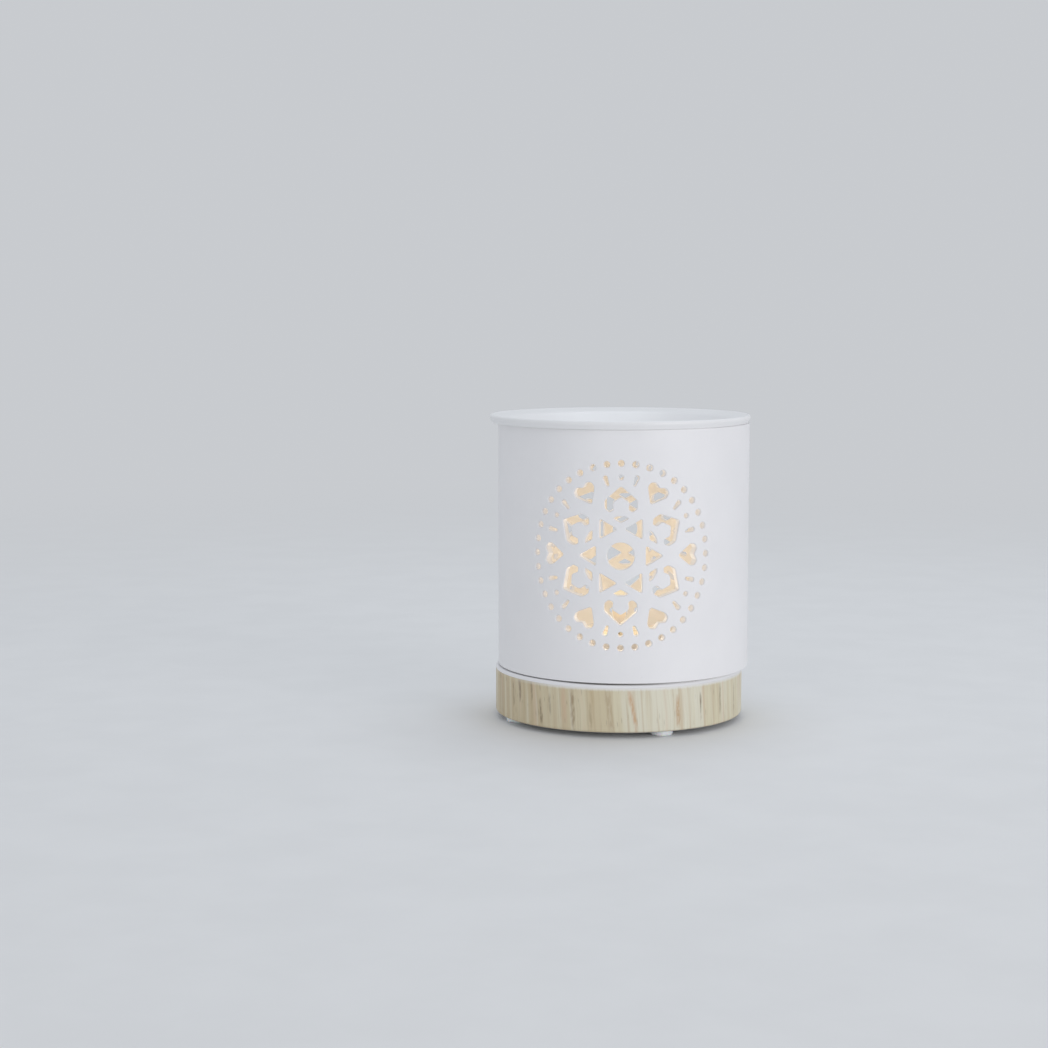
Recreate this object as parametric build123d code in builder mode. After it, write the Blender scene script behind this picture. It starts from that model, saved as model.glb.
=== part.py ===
from build123d import *
import math
import os

# Essential oil burner: a pierced ceramic tube on a wood-effect base, with a lift-off oil dish
# and a tealight inside.  Millimetres, +Z up, origin on the table under the centre of the feet,
# front of the burner towards -Y.

# ------------------------------------------------------------------ driving dimensions
# feet
FOOT_H = 2.2            # height of the stick-on pads
FOOT_R = 4.3            # pad radius
FOOT_PITCH_R = 43.4     # pads' distance from the axis
FOOT_FIRST = 23.8       # first pad, degrees to the right of the front

# base
BASE_R = 49.4           # outside of the base, over the wood-effect band
BASE_TOP = 21.0         # ledge that the tube stands on
BASE_TOP_EDGE = 0.8     # rounded white rim
BASE_LOW_EDGE = 0.9     # rounded bottom edge
BAND_T = 0.30           # depth of the groove for the band
BAND_TOP = 19.6         # upper edge of the band
BAND_TUCK = 60.0        # the band follows the rounded bottom edge this many degrees
BAND_PLAY = 0.04        # glue gap round the band
BAND_GAP = 0.5          # seam of the band, at the back
REG_R = 44.1            # register ring inside the tube, a loose fit
REG_TOP = 24.2
RECESS_R = 20.2         # candle recess
RECESS_Z = 19.2
HOLLOW_R = 35.0         # hollow underside
HOLLOW_TOP = 13.8

# tube, which stands loose on the base and has been set down a little to the right
TUBE_X = 1.6
TUBE_R = 50.0
TUBE_WALL = 4.0
TUBE_TOP = 118.2
TUBE_OUT_EDGE = 0.3     # rounding of the top edge
TUBE_IN_EDGE = 0.8
TUBE_FOOT_R = 48.6      # unglazed foot ring, set back from the skin
TUBE_SKIN_LOW = 21.45   # lower edge of the skin, over a narrow shadow gap
TUBE_SKIN_EDGE = 0.25

# rosette, in millimetres along the tube's skin
ROSE_Z = 70.3           # height of its centre
RING_R = 35.2           # circle of round dots
RING_N = 40
RING_DOT_D = 2.5

# dish
LIP_R = 51.9            # widest point of the dish
DISH_TOP = 121.4
LIP_TOP_EDGE = 0.9      # rounding over the lip
LIP_SEAT_R = 50.8       # outer corner of the flat that rests on the tube
LIP_SEAT_EDGE = 0.3
LIP_BREAK_Z = 120.1     # where the flared outside meets the lip
LIP_BREAK_EDGE = 0.7
RIM_SLOPE = 9.8         # degrees that the broad rim falls towards the bowl
SPIGOT_R = 44.1         # part of the dish that hangs in the tube, a loose fit
SPIGOT_Z = 115.4
BOWL_R = 43.5           # inner edge of the rim
BOWL_LOW_R = 31.0
BOWL_LOW_Z = 110.0
BOWL_FLOOR_Z = 108.6
UNDER_LOW_R = 30.8
UNDER_LOW_Z = 105.9
UNDER_FLOOR_Z = 104.8

# tealight
CUP_R = 19.0
CUP_H = 15.5
CUP_T = 0.4
WAX_TOP = RECESS_Z + 13.6
WICK_R = 0.7
WICK_TOP = RECESS_Z + 20.0
TAB_R = 7.5
TAB_T = 0.3
FIT = 0.05              # gap between the wax and what it touches

os.makedirs("parts", exist_ok=True)


# ------------------------------------------------------------------ base
# middle of the rounding along the base's bottom edge
edge_r = BASE_R - BASE_LOW_EDGE
edge_z = FOOT_H + BASE_LOW_EDGE


def on_edge(radius, degrees):
    """Point of the base's profile, round the middle of its bottom edge."""
    turn = math.radians(degrees)
    return (edge_r + radius * math.cos(turn), edge_z + radius * math.sin(turn))


GROOVE_EDGE = BASE_LOW_EDGE - BAND_T

with BuildPart() as base_body:
    with BuildSketch(Plane.XZ) as base_profile:
        with BuildLine():
            Polyline(
                (0, HOLLOW_TOP),
                (HOLLOW_R, HOLLOW_TOP),
                (HOLLOW_R, FOOT_H),
                (edge_r, FOOT_H),
            )
            # bare bit of the rounded edge, then the groove that the band lies in
            ThreePointArc(
                (edge_r, FOOT_H),
                on_edge(BASE_LOW_EDGE, -90 + (90 - BAND_TUCK) / 2),
                on_edge(BASE_LOW_EDGE, -BAND_TUCK),
            )
            Line(on_edge(BASE_LOW_EDGE, -BAND_TUCK), on_edge(GROOVE_EDGE, -BAND_TUCK))
            ThreePointArc(
                on_edge(GROOVE_EDGE, -BAND_TUCK),
                on_edge(GROOVE_EDGE, -BAND_TUCK / 2),
                on_edge(GROOVE_EDGE, 0),
            )
            Polyline(
                on_edge(GROOVE_EDGE, 0),
                (BASE_R - BAND_T, BAND_TOP),
                (BASE_R, BAND_TOP),
                (BASE_R, BASE_TOP),
                (REG_R, BASE_TOP),
                (REG_R, REG_TOP),
                (RECESS_R, REG_TOP),
                (RECESS_R, RECESS_Z),
                (0, RECESS_Z),
                (0, HOLLOW_TOP),
            )
        make_face()
        # rounded rims, corner by corner: (distance from axis, height, rounding)
        for cr, cz, rad in (
            (HOLLOW_R, HOLLOW_TOP, 2.5),
            (HOLLOW_R, FOOT_H, 0.8),
            (BASE_R, BASE_TOP, BASE_TOP_EDGE),
            (REG_R, BASE_TOP, 0.4),
            (REG_R, REG_TOP, 1.0),
            (RECESS_R, REG_TOP, 1.0),
            (RECESS_R, RECESS_Z, 0.4),
        ):
            corner = base_profile.vertices().sort_by_distance((cr, cz))[0]
            fillet(corner, rad)
    revolve(axis=Axis.Z)
base_body.part.label = "base_body"
export_step(base_body.part, "parts/base_body.step")

# thin wood-effect band, flush with the base's skin, its ends nearly meeting at the back
band_in = BAND_T - BAND_PLAY
gap_turn = math.degrees(BAND_GAP / BASE_R)
with BuildPart() as wood_effect_wrap:
    with BuildSketch(Plane.XZ.rotated((0, 0, 90 + gap_turn / 2))):
        with BuildLine():
            ThreePointArc(
                on_edge(BASE_LOW_EDGE, 0),
                on_edge(BASE_LOW_EDGE, -BAND_TUCK / 2 + 1),
                on_edge(BASE_LOW_EDGE, -BAND_TUCK + 2.5),
            )
            Line(
                on_edge(BASE_LOW_EDGE, -BAND_TUCK + 2.5),
                on_edge(BASE_LOW_EDGE - band_in, -BAND_TUCK + 4),
            )
            ThreePointArc(
                on_edge(BASE_LOW_EDGE - band_in, -BAND_TUCK + 4),
                on_edge(BASE_LOW_EDGE - band_in, -BAND_TUCK / 2 + 2),
                on_edge(BASE_LOW_EDGE - band_in, 0),
            )
            Polyline(
                on_edge(BASE_LOW_EDGE - band_in, 0),
                (BASE_R - band_in, BAND_TOP - BAND_PLAY),
                (BASE_R, BAND_TOP - BAND_PLAY),
                on_edge(BASE_LOW_EDGE, 0),
            )
        make_face()
    revolve(axis=Axis.Z, revolution_arc=360 - gap_turn)
wood_effect_wrap.part.label = "wood_effect_wrap"
export_step(wood_effect_wrap.part, "parts/wood_effect_wrap.step")


# ------------------------------------------------------------------ feet
# one pad a little to the right of the front, the others a quarter turn on
foot_names = ("foot_front", "foot_right", "foot_rear", "foot_left")
for foot_index, foot_name in enumerate(foot_names):
    foot_angle = math.radians(-90 + FOOT_FIRST + 90 * foot_index)
    foot_x = FOOT_PITCH_R * math.cos(foot_angle)
    foot_y = FOOT_PITCH_R * math.sin(foot_angle)
    with BuildPart() as foot:
        with BuildSketch(Plane((foot_x, foot_y, 0))):
            Circle(FOOT_R)
        extrude(amount=FOOT_H)
        fillet(foot.edges().group_by(Axis.Z)[0], 0.8)
    foot.part.label = foot_name
    export_step(foot.part, "parts/" + foot_name + ".step")


# ------------------------------------------------------------------ rosette shapes
# each is drawn once, flat, with +Y pointing away from the middle of the rosette, as a
# polygon whose corners are rounded one by one: (x, y, rounding)
TRIANGLE = ((-3.95, -2.35, 0.5), (3.95, -2.35, 0.5), (0, 4.40, 0.5))
LENS = ((-2.95, 0.25, 0.25), (0, -1.35, 0.9), (2.95, 0.25, 0.25), (1.5, 1.0, 1.5), (-1.5, 1.0, 1.5))
# half outlines, from the outer point round to the inner one; the other half mirrors them
CROWN_HALF = (
    (0, 6.60, 1.0),
    (6.2, 1.10, 1.6),
    (6.1, -2.00, 1.3),
    (4.3, -3.35, 1.0),
    (2.85, -2.30, 0.9),
    (3.35, 0.35, 1.6),
    (0, 2.50, 0.8),
)
HEART_HALF = (
    (0, 2.45, 0.7),
    (2.3, 3.70, 1.2),
    (4.1, 2.60, 1.3),
    (4.15, 0.60, 1.6),
    (0, -4.60, 0.7),
)


def both_halves(half):
    """Whole outline from a half one whose first and last corners lie on the middle line."""
    return half + tuple((-x, y, r) for x, y, r in reversed(half[1:-1]))


with BuildSketch() as hole_centre:
    Circle(5.2)

hole_shapes = []
for corners in (TRIANGLE, LENS, both_halves(CROWN_HALF), both_halves(HEART_HALF)):
    with BuildSketch() as hole_shape:
        with BuildLine():
            Polyline(*[(x, y) for x, y, r in corners], close=True)
        make_face()
        for x, y, r in corners:
            fillet(hole_shape.vertices().sort_by_distance((x, y))[0], r)
    hole_shapes.append(hole_shape)
hole_triangle, hole_lens, hole_crown, hole_heart = hole_shapes

# drop: a long taper from a wide round end to a narrow one, which points inward
with BuildSketch() as hole_drop:
    with BuildLine():
        Polyline((-0.565, -1.425), (0.565, -1.425), (0.912, 1.271), (-0.912, 1.271), close=True)
    make_face()
    with Locations((0, 1.15)):
        Circle(0.92)
    with Locations((0, -1.50)):
        Circle(0.57)

with BuildSketch() as hole_small_dot:
    Circle(0.95)

with BuildSketch() as hole_ring_dot:
    Circle(RING_DOT_D / 2)

# (shape, distance from the rosette's middle, direction from it, lean of the shape)
rosette = [(hole_centre, 0.0, 90.0, 0.0)]
for step in range(6):
    spoke = 60.0 * step                  # towards the hearts
    between = 60.0 * step + 30.0         # towards the heart outlines
    rosette.append((hole_triangle, 12.0, spoke, 0.0))
    rosette.append((hole_heart, 27.2, spoke, 0.0))
    rosette.append((hole_lens, 14.1, between, 0.0))
    rosette.append((hole_crown, 20.0, between, 0.0))
    rosette.append((hole_small_dot, 29.9, between, 0.0))
    rosette.append((hole_drop, 29.1, between - 11.2, -8.0))
    rosette.append((hole_drop, 29.1, between + 11.2, 8.0))
for step in range(RING_N):
    rosette.append((hole_ring_dot, RING_R, 360.0 * step / RING_N, 0.0))


def skin_plane(front, reach, direction, lean):
    """Plane just off the tube's skin where a hole of the rosette is centred."""
    along = reach * math.cos(math.radians(direction))
    up = reach * math.sin(math.radians(direction))
    turn = along / TUBE_R + (0.0 if front else math.pi)
    outward = Vector(math.sin(turn), -math.cos(turn), 0)
    across = Vector(math.cos(turn), math.sin(turn), 0)
    spot = outward * (TUBE_R + 0.6) + Vector(TUBE_X, 0, ROSE_Z + up)
    roll = math.radians(direction - 90.0 + lean)
    own_x = across * math.cos(roll) + Vector(0, 0, 1) * math.sin(roll)
    return Plane(origin=spot, x_dir=own_x, z_dir=outward)


# ------------------------------------------------------------------ tube
tube_axis = Axis((TUBE_X, 0, 0), (0, 0, 1))
tube_section = Plane(origin=(TUBE_X, 0, 0), x_dir=(1, 0, 0), z_dir=(0, -1, 0))

with BuildPart() as shade:
    with BuildSketch(tube_section) as tube_profile:
        with BuildLine():
            Polyline(
                (TUBE_R - TUBE_WALL, BASE_TOP),
                (TUBE_FOOT_R, BASE_TOP),
                (TUBE_FOOT_R, TUBE_SKIN_LOW),
                (TUBE_R, TUBE_SKIN_LOW),
                (TUBE_R, TUBE_TOP),
                (TUBE_R - TUBE_WALL, TUBE_TOP),
                close=True,
            )
        make_face()
        for cr, cz, rad in (
            (TUBE_R - TUBE_WALL, BASE_TOP, TUBE_IN_EDGE),
            (TUBE_R, TUBE_SKIN_LOW, TUBE_SKIN_EDGE),
            (TUBE_R, TUBE_TOP, TUBE_OUT_EDGE),
            (TUBE_R - TUBE_WALL, TUBE_TOP, TUBE_IN_EDGE),
        ):
            fillet(tube_profile.vertices().sort_by_distance((cr, cz))[0], rad)
    revolve(axis=tube_axis)
    # the same rosette is pierced through the front and the back of the wall
    for front in (True, False):
        for shape, reach, direction, lean in rosette:
            with BuildSketch(skin_plane(front, reach, direction, lean)):
                add(shape.sketch)
    extrude(amount=-(TUBE_WALL + 2.6), mode=Mode.SUBTRACT)
shade.part.label = "shade"
export_step(shade.part, "parts/shade.step")


# ------------------------------------------------------------------ oil dish
# middle of the rounding over the lip, and where it meets the sloping rim
top_r, top_z = LIP_R - LIP_TOP_EDGE, DISH_TOP - LIP_TOP_EDGE


def lip_top(degrees):
    turn = math.radians(degrees)
    return (top_r + LIP_TOP_EDGE * math.cos(turn), top_z + LIP_TOP_EDGE * math.sin(turn))


rim_start = lip_top(90 + RIM_SLOPE)
rim_end = (BOWL_R, rim_start[1] - (rim_start[0] - BOWL_R) * math.tan(math.radians(RIM_SLOPE)))

with BuildPart() as oil_dish:
    with BuildSketch(Plane.XZ) as dish_profile:
        with BuildLine():
            # underside, from the axis out to the seat, and the flared outside
            Polyline(
                (0, UNDER_FLOOR_Z),
                (UNDER_LOW_R, UNDER_LOW_Z),
                (SPIGOT_R, SPIGOT_Z),
                (SPIGOT_R, TUBE_TOP),
                (LIP_SEAT_R, TUBE_TOP),
                (LIP_R, LIP_BREAK_Z),
                (LIP_R, top_z),
            )
            ThreePointArc((LIP_R, top_z), lip_top(45 + RIM_SLOPE / 2), rim_start)
            # broad rim and the inside of the bowl
            Polyline(
                rim_start,
                rim_end,
                (BOWL_LOW_R, BOWL_LOW_Z),
                (0, BOWL_FLOOR_Z),
                (0, UNDER_FLOOR_Z),
            )
        make_face()
        for cr, cz, rad in (
            (UNDER_LOW_R, UNDER_LOW_Z, 25.0),
            (SPIGOT_R, SPIGOT_Z, 0.8),
            (LIP_SEAT_R, TUBE_TOP, LIP_SEAT_EDGE),
            (LIP_R, LIP_BREAK_Z, LIP_BREAK_EDGE),
            (rim_end[0], rim_end[1], 5.0),
            (BOWL_LOW_R, BOWL_LOW_Z, 22.0),
        ):
            corner = dish_profile.vertices().sort_by_distance((cr, cz))[0]
            fillet(corner, rad)
    revolve(axis=Axis.Z)
oil_dish.part.label = "oil_dish"
export_step(oil_dish.part, "parts/oil_dish.step")


# ------------------------------------------------------------------ tealight
# thin metal cup with a rolled rim and a slightly raised middle
with BuildPart() as tealight_cup:
    with BuildSketch(Plane.XZ):
        with BuildLine():
            Polyline(
                (0, RECESS_Z + 0.7),
                (14.5, RECESS_Z + 0.7),
                (15.6, RECESS_Z),
                (CUP_R - 0.5, RECESS_Z),
                (CUP_R, RECESS_Z + 0.5),
                (CUP_R, RECESS_Z + CUP_H - 0.8),
                (CUP_R + 0.35, RECESS_Z + CUP_H - 0.55),
                (CUP_R + 0.35, RECESS_Z + CUP_H - 0.2),
                (CUP_R + 0.1, RECESS_Z + CUP_H),
                (CUP_R - 0.25, RECESS_Z + CUP_H),
                (CUP_R - CUP_T, RECESS_Z + CUP_H - 0.35),
                (CUP_R - CUP_T, RECESS_Z + 0.7),
                (CUP_R - 0.7, RECESS_Z + CUP_T),
                (15.8, RECESS_Z + CUP_T),
                (14.7, RECESS_Z + 0.7 + CUP_T),
                (0, RECESS_Z + 0.7 + CUP_T),
                (0, RECESS_Z + 0.7),
            )
        make_face()
    revolve(axis=Axis.Z)
tealight_cup.part.label = "tealight_cup"
export_step(tealight_cup.part, "parts/tealight_cup.step")

CUP_FLOOR = RECESS_Z + 0.7 + CUP_T      # top of the cup's raised middle

# wick tab: round plate with a short neck crimped round the wick
with BuildPart() as wick_tab:
    with BuildSketch(Plane.XZ):
        with BuildLine():
            Polyline(
                (0, CUP_FLOOR),
                (TAB_R, CUP_FLOOR),
                (TAB_R, CUP_FLOOR + TAB_T),
                (1.25, CUP_FLOOR + TAB_T),
                (1.05, CUP_FLOOR + 3.5),
                (WICK_R + 0.02, CUP_FLOOR + 3.5),
                (WICK_R + 0.02, CUP_FLOOR + TAB_T),
                (0, CUP_FLOOR + TAB_T),
                (0, CUP_FLOOR),
            )
        make_face()
    revolve(axis=Axis.Z)
wick_tab.part.label = "wick_tab"
export_step(wick_tab.part, "parts/wick_tab.step")

# wax, with its low melted pool, the passage for the wick and the pocket for the tab
with BuildPart() as tealight_wax:
    with BuildSketch(Plane.XZ):
        with BuildLine():
            Polyline(
                (WICK_R + FIT, WAX_TOP - 0.2),
                (WICK_R + FIT, CUP_FLOOR + 3.5 + FIT),
                (1.05 + FIT, CUP_FLOOR + 3.5 + FIT),
                (1.25 + FIT, CUP_FLOOR + TAB_T + FIT),
                (TAB_R + FIT, CUP_FLOOR + TAB_T + FIT),
                (TAB_R + FIT, CUP_FLOOR + 0.02),
                (14.72, CUP_FLOOR + 0.02),
                (15.85, RECESS_Z + CUP_T + 0.03),
                (CUP_R - 0.78, RECESS_Z + CUP_T + 0.03),
                (CUP_R - CUP_T - FIT, RECESS_Z + 0.8),
                (CUP_R - CUP_T - FIT, WAX_TOP + 0.5),
                (CUP_R - 1.1, WAX_TOP + 0.1),
                (CUP_R - 3.0, WAX_TOP - 0.1),
                (WICK_R + FIT, WAX_TOP - 0.2),
            )
        make_face()
    revolve(axis=Axis.Z)
tealight_wax.part.label = "tealight_wax"
export_step(tealight_wax.part, "parts/tealight_wax.step")

with BuildPart() as wick:
    with BuildSketch(Plane.XY.offset(CUP_FLOOR + TAB_T)):
        Circle(WICK_R)
    extrude(amount=WICK_TOP - CUP_FLOOR - TAB_T)
    chamfer(wick.edges().group_by(Axis.Z)[-1], 0.25)
wick.part.label = "wick"
export_step(wick.part, "parts/wick.step")
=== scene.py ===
import bpy
import math
import numpy as np
from mathutils import Matrix, Vector
from mathutils.geometry import delaunay_2d_cdt


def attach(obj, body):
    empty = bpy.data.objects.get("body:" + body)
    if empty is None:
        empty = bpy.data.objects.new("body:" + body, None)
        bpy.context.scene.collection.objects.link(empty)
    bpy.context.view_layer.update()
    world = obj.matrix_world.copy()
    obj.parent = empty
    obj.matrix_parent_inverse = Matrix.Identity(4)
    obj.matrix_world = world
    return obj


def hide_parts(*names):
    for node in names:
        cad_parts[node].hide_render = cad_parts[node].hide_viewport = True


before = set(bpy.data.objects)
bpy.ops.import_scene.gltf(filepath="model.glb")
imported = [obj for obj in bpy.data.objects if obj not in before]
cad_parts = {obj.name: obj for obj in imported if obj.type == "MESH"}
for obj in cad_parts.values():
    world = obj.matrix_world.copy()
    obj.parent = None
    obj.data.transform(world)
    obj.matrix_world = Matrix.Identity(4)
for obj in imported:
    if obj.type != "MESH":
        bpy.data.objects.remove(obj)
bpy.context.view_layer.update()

# ---------------------------------------------------------------------------------------
# Dimensions in millimetres, the same as the model's; meshes are made in metres.
# ---------------------------------------------------------------------------------------
MM = 0.001
TUBE_R, TUBE_IN = 50.0, 46.0
TUBE_X = 1.6                           # the loose tube stands a little to the right
TUBE_Z0, TUBE_SKIN, TUBE_Z1 = 21.0, 21.45, 118.2
TUBE_FOOT = 48.6                       # foot ring, set back under the skin
ROSE_Z = 70.3
BASE_R = 49.4

# rosette holes: polygons whose corners are rounded one by one (x, y, rounding), +Y outward
TRIANGLE = ((-3.95, -2.35, 0.5), (3.95, -2.35, 0.5), (0, 4.40, 0.5))
LENS = ((-2.95, 0.25, 0.25), (0, -1.35, 0.9), (2.95, 0.25, 0.25), (1.5, 1.0, 1.5), (-1.5, 1.0, 1.5))
CROWN_HALF = ((0, 6.60, 1.0), (6.2, 1.10, 1.6), (6.1, -2.00, 1.3), (4.3, -3.35, 1.0),
              (2.85, -2.30, 0.9), (3.35, 0.35, 1.6), (0, 2.50, 0.8))
HEART_HALF = ((0, 2.45, 0.7), (2.3, 3.70, 1.2), (4.1, 2.60, 1.3), (4.15, 0.60, 1.6), (0, -4.60, 0.7))


def both_halves(half):
    return tuple(half) + tuple((-x, y, r) for x, y, r in reversed(half[1:-1]))


# ---------------------------------------------------------------------------------------
# Outlines
# ---------------------------------------------------------------------------------------
def rounded(corners, closed=True, turn_step=14.0, longest=None):
    """Outline with rounded corners as (x, y, nx, ny), the normal on the right of the path."""
    out = []
    count = len(corners)

    def unit(a, b):
        d = np.array([b[0] - a[0], b[1] - a[1]], float)
        return d / np.linalg.norm(d)

    for i, (x, y, r) in enumerate(corners):
        if not closed and i in (0, count - 1):
            d = unit(corners[0], corners[1]) if i == 0 else unit(corners[-2], corners[-1])
            out.append((x, y, d[1], -d[0]))
            continue
        d1 = unit(corners[i - 1], corners[i])
        d2 = unit(corners[i], corners[(i + 1) % count])
        turn = math.atan2(d1[0] * d2[1] - d1[1] * d2[0], d1 @ d2)
        t = r * math.tan(abs(turn) / 2)
        steps = max(1, math.ceil(abs(math.degrees(turn)) / turn_step))
        start = np.array([x, y]) - d1 * t
        side = 1.0 if turn > 0 else -1.0
        centre = start + side * r * np.array([-d1[1], d1[0]])
        for k in range(steps + 1):
            a = turn * k / steps
            n = np.array([d1[1] * math.cos(a) + d1[0] * math.sin(a),
                          -d1[0] * math.cos(a) + d1[1] * math.sin(a)])
            p = centre + side * r * n
            out.append((p[0], p[1], n[0], n[1]))
    if longest:
        dense = []
        pairs = list(zip(out, out[1:] + out[:1])) if closed else list(zip(out, out[1:]))
        for a, b in pairs:
            dense.append(a)
            gap = math.dist(a[:2], b[:2])
            for k in range(1, math.ceil(gap / longest)):
                f = k / math.ceil(gap / longest)
                n = np.array([a[2] + (b[2] - a[2]) * f, a[3] + (b[3] - a[3]) * f])
                n /= np.linalg.norm(n)
                dense.append((a[0] + (b[0] - a[0]) * f, a[1] + (b[1] - a[1]) * f, n[0], n[1]))
        if not closed:
            dense.append(out[-1])
        out = dense
    return out


def circle(radius, count):
    return [(radius * math.cos(a), radius * math.sin(a), math.cos(a), math.sin(a))
            for a in (2 * math.pi * k / count for k in range(count))]


def drop_outline():
    """Long drop: wide round end outward, narrow one inward."""
    big, small, y1, y0 = 0.92, 0.57, 1.15, -1.50
    lean = math.asin((big - small) / (y1 - y0))
    pts = []
    for k in range(15):
        a = lean + (math.pi - 2 * lean) * k / 14
        pts.append((big * math.cos(a), y1 + big * math.sin(a), math.cos(a), math.sin(a)))
    for k in range(9):
        a = math.pi - lean + (math.pi + 2 * lean) * k / 8
        pts.append((small * math.cos(a), y0 + small * math.sin(a), math.cos(a), math.sin(a)))
    return pts


def counter_clockwise(pts):
    """Outline as (x, y, nx, ny) with its normals away from the hole."""
    area = sum(a[0] * b[1] - b[0] * a[1] for a, b in zip(pts, pts[1:] + pts[:1])) / 2
    if area < 0:
        pts = [(x, y, -nx, -ny) for x, y, nx, ny in reversed(pts)]
    return pts


OUTLINES = {
    "centre": circle(5.2, 84),
    "triangle": counter_clockwise(rounded(TRIANGLE, longest=0.55)),
    "lens": counter_clockwise(rounded(LENS, longest=0.5)),
    "crown": counter_clockwise(rounded(both_halves(CROWN_HALF), longest=0.55)),
    "heart": counter_clockwise(rounded(both_halves(HEART_HALF), longest=0.55)),
    "drop": drop_outline(),
    "small_dot": circle(0.95, 22),
    "ring_dot": circle(1.25, 26),
}

rosette = [("centre", 0.0, 90.0, 0.0)]
for step in range(6):
    spoke, between = 60.0 * step, 60.0 * step + 30.0
    rosette += [("triangle", 12.0, spoke, 0.0), ("heart", 27.2, spoke, 0.0),
                ("lens", 14.1, between, 0.0), ("crown", 20.0, between, 0.0),
                ("small_dot", 29.9, between, 0.0),
                ("drop", 29.1, between - 11.2, -8.0), ("drop", 29.1, between + 11.2, 8.0)]
for step in range(40):
    rosette.append(("ring_dot", 35.2, 9.0 * step, 0.0))


# ---------------------------------------------------------------------------------------
# Meshes with exact normals
# ---------------------------------------------------------------------------------------
class Skin:
    """Collects points (millimetres) with normals and faces, joining points that coincide."""

    def __init__(self):
        self.index, self.points, self.normals, self.faces, self.slots = {}, [], [], [], []

    def point(self, p, n):
        key = (round(p[0] * 1000), round(p[1] * 1000), round(p[2] * 1000))
        if key not in self.index:
            self.index[key] = len(self.points)
            self.points.append((p[0] * MM, p[1] * MM, p[2] * MM))
            self.normals.append(n)
        return self.index[key]

    def face(self, corners, slot=0):
        kept = []
        for c in corners:
            if c not in kept:
                kept.append(c)
        if len(kept) < 3:
            return
        p = [Vector(self.points[i]) for i in kept[:4]]
        n = (p[1] - p[0]).cross(p[2] - p[0])
        if len(p) == 4:
            n += (p[2] - p[0]).cross(p[3] - p[0])
        want = sum((Vector(self.normals[i]) for i in kept), Vector())
        if n.dot(want) < 0:
            kept.reverse()
        self.faces.append(kept)
        self.slots.append(slot)

    def build(self, name, materials):
        mesh = bpy.data.meshes.new(name)
        mesh.from_pydata(self.points, [], self.faces)
        mesh.polygons.foreach_set("material_index", self.slots)
        mesh.polygons.foreach_set("use_smooth", [True] * len(self.faces))
        for m in materials:
            mesh.materials.append(m)
        mesh.validate()
        mesh.normals_split_custom_set_from_vertices([Vector(n).normalized() for n in self.normals])
        obj = bpy.data.objects.new(name, mesh)
        bpy.context.scene.collection.objects.link(obj)
        return obj


def lathe(name, profile, materials, count=160, closed=False, centre=(0.0, 0.0), slot_of=None,
          warp=None):
    """Turned piece.  profile is (r, z, nr, nz) in order; slot_of(r, z, i) picks the material."""
    skin = Skin()
    rings = []
    for k in range(count):
        a = 2 * math.pi * k / count
        ring = []
        for r, z, nr, nz in profile:
            if r < 1e-6:
                ring.append(skin.point((centre[0], centre[1], z), (0, 0, 1 if nz > 0 else -1)))
                continue
            dr, dz = warp(a, r, z) if warp else (0.0, 0.0)
            ring.append(skin.point(
                (centre[0] + (r + dr) * math.cos(a), centre[1] + (r + dr) * math.sin(a), z + dz),
                (nr * math.cos(a), nr * math.sin(a), nz)))
        rings.append(ring)
    last = len(profile) if closed else len(profile) - 1
    for k in range(count):
        here, there = rings[k], rings[(k + 1) % count]
        for j in range(last):
            i = (j + 1) % len(profile)
            slot = slot_of((profile[j][0] + profile[i][0]) / 2,
                           (profile[j][1] + profile[i][1]) / 2, j) if slot_of else 0
            skin.face([here[j], there[j], there[i], here[i]], slot)
    return skin.build(name, materials)


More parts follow.
